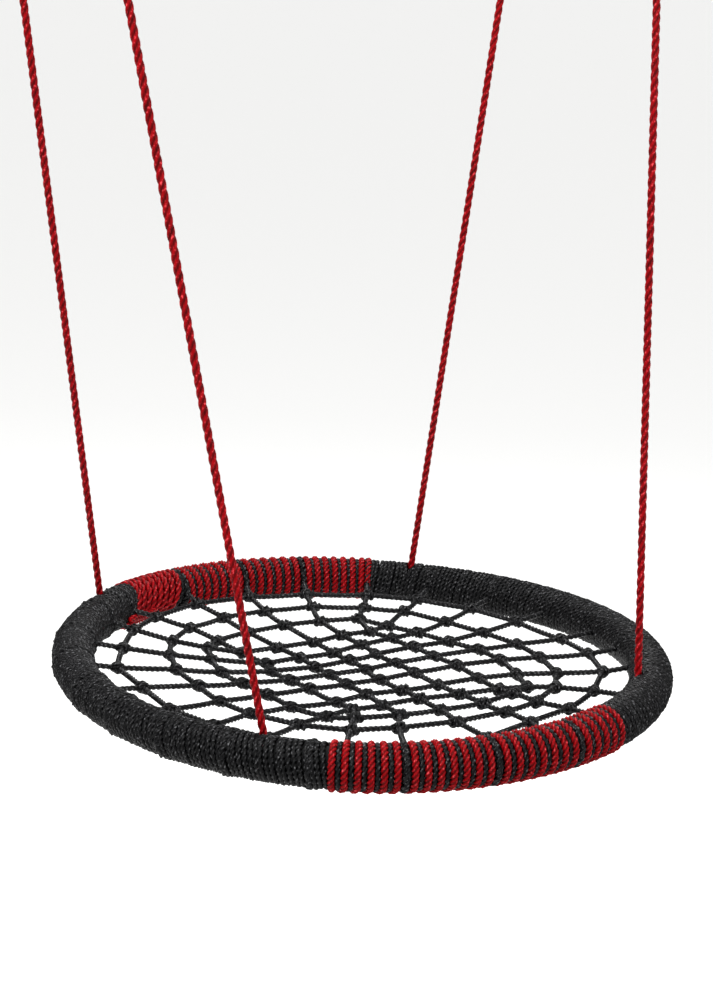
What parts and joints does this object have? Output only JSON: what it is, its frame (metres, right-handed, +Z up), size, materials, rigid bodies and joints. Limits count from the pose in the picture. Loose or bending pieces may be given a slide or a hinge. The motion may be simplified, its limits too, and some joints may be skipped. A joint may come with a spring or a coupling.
{
  "type": "saucer nest swing",
  "caption": "Round padded steel ring wrapped in cord, with a knotted net seat, hung on ropes from triangular links in latched safety hooks under beam brackets.",
  "frame": {"origin": "midway between the two beam brackets, on the plane of their top faces, where the beam's underside meets them", "axes": "+Z up; X along the swing axis through both pivot bolts; +X towards the right bracket as seen from the swing's front (-Y)"},
  "size_m": [1.1529, 0.9514, 1.8749],
  "materials": {
    "galvanised_steel": "satin zinc",
    "pressed_aluminium": "satin",
    "bush_nylon": "matte",
    "foam": "matte closed-cell foam",
    "red_rope": "twisted synthetic rope",
    "black_cord": "twisted synthetic cord"
  },
  "bodies": {
    "beam_brackets": {"beam_bracket_left": "galvanised_steel", "beam_bracket_right": "galvanised_steel", "pivot_bolt_left": "galvanised_steel", "pivot_bolt_right": "galvanised_steel", "pivot_nut_left": "galvanised_steel", "pivot_nut_right": "galvanised_steel", "pivot_bush_left": "bush_nylon", "pivot_bush_right": "bush_nylon"},
    "hook_left": {"safety_hook_left": "galvanised_steel", "latch_pin_left": "galvanised_steel"},
    "hook_right": {"safety_hook_right": "galvanised_steel", "latch_pin_right": "galvanised_steel"},
    "latch_left": {"hook_latch_left": "galvanised_steel"},
    "latch_right": {"hook_latch_right": "galvanised_steel"},
    "seat": {"triangle_link_left": "galvanised_steel", "triangle_link_right": "galvanised_steel", "thimble_back_right": "galvanised_steel", "thimble_back_left": "galvanised_steel", "thimble_front_left": "galvanised_steel", "thimble_front_right": "galvanised_steel", "ferrule_back_right": "pressed_aluminium", "ferrule_back_left": "pressed_aluminium", "ferrule_front_left": "pressed_aluminium", "ferrule_front_right": "pressed_aluminium", "rope_back_right": "red_rope", "rope_back_left": "red_rope", "rope_front_left": "red_rope", "rope_front_right": "red_rope", "ring_tube_1": "galvanised_steel", "ring_tube_2": "galvanised_steel", "ring_tube_3": "galvanised_steel", "ring_tube_4": "galvanised_steel", "ring_spigot_1": "galvanised_steel", "ring_spigot_2": "galvanised_steel", "ring_spigot_3": "galvanised_steel", "ring_spigot_4": "galvanised_steel", "ring_joint_screw_1": "galvanised_steel", "ring_joint_screw_2": "galvanised_steel", "ring_joint_screw_3": "galvanised_steel", "ring_joint_screw_4": "galvanised_steel", "foam_sleeve_1": "foam", "foam_sleeve_2": "foam", "foam_sleeve_3": "foam", "foam_sleeve_4": "foam", "wrap_striped_front": "red_rope", "wrap_striped_back": "red_rope", "wrap_black_left": "black_cord", "wrap_black_right": "black_cord", "seat_net": "black_cord"}
  },
  "joints": [
    {"name": "hook_right_swing", "type": "hinge", "parent": "beam_brackets", "child": "hook_right", "pos_m": [0.468, 0, -0.024], "axis": [1, 0, 0], "range_deg": [-40, 40]},
    {"name": "hook_left_swing", "type": "hinge", "parent": "beam_brackets", "child": "hook_left", "pos_m": [-0.468, 0, -0.024], "axis": [1, 0, 0], "range_deg": [-40, 40]},
    {"name": "seat_rock", "type": "hinge", "parent": "hook_right", "child": "seat", "pos_m": [0.468, 0, -0.121], "axis": [1, 0, 0], "range_deg": [-15, 15]},
    {"name": "latch_left_open", "type": "hinge", "parent": "hook_left", "child": "latch_left", "pos_m": [-0.46, 0, -0.053], "axis": [0, 1, 0], "range_deg": [0, 35], "stiffness_Nm_per_rad": 0.05, "springref_deg": -20.05},
    {"name": "latch_right_open", "type": "hinge", "parent": "hook_right", "child": "latch_right", "pos_m": [0.476, 0, -0.053], "axis": [0, 1, 0], "range_deg": [0, 35], "stiffness_Nm_per_rad": 0.05, "springref_deg": -20.05}
  ],
  "couplings": [
    {"joint": "hook_left_swing", "follows": "hook_right_swing", "ratio": 1}
  ]
}
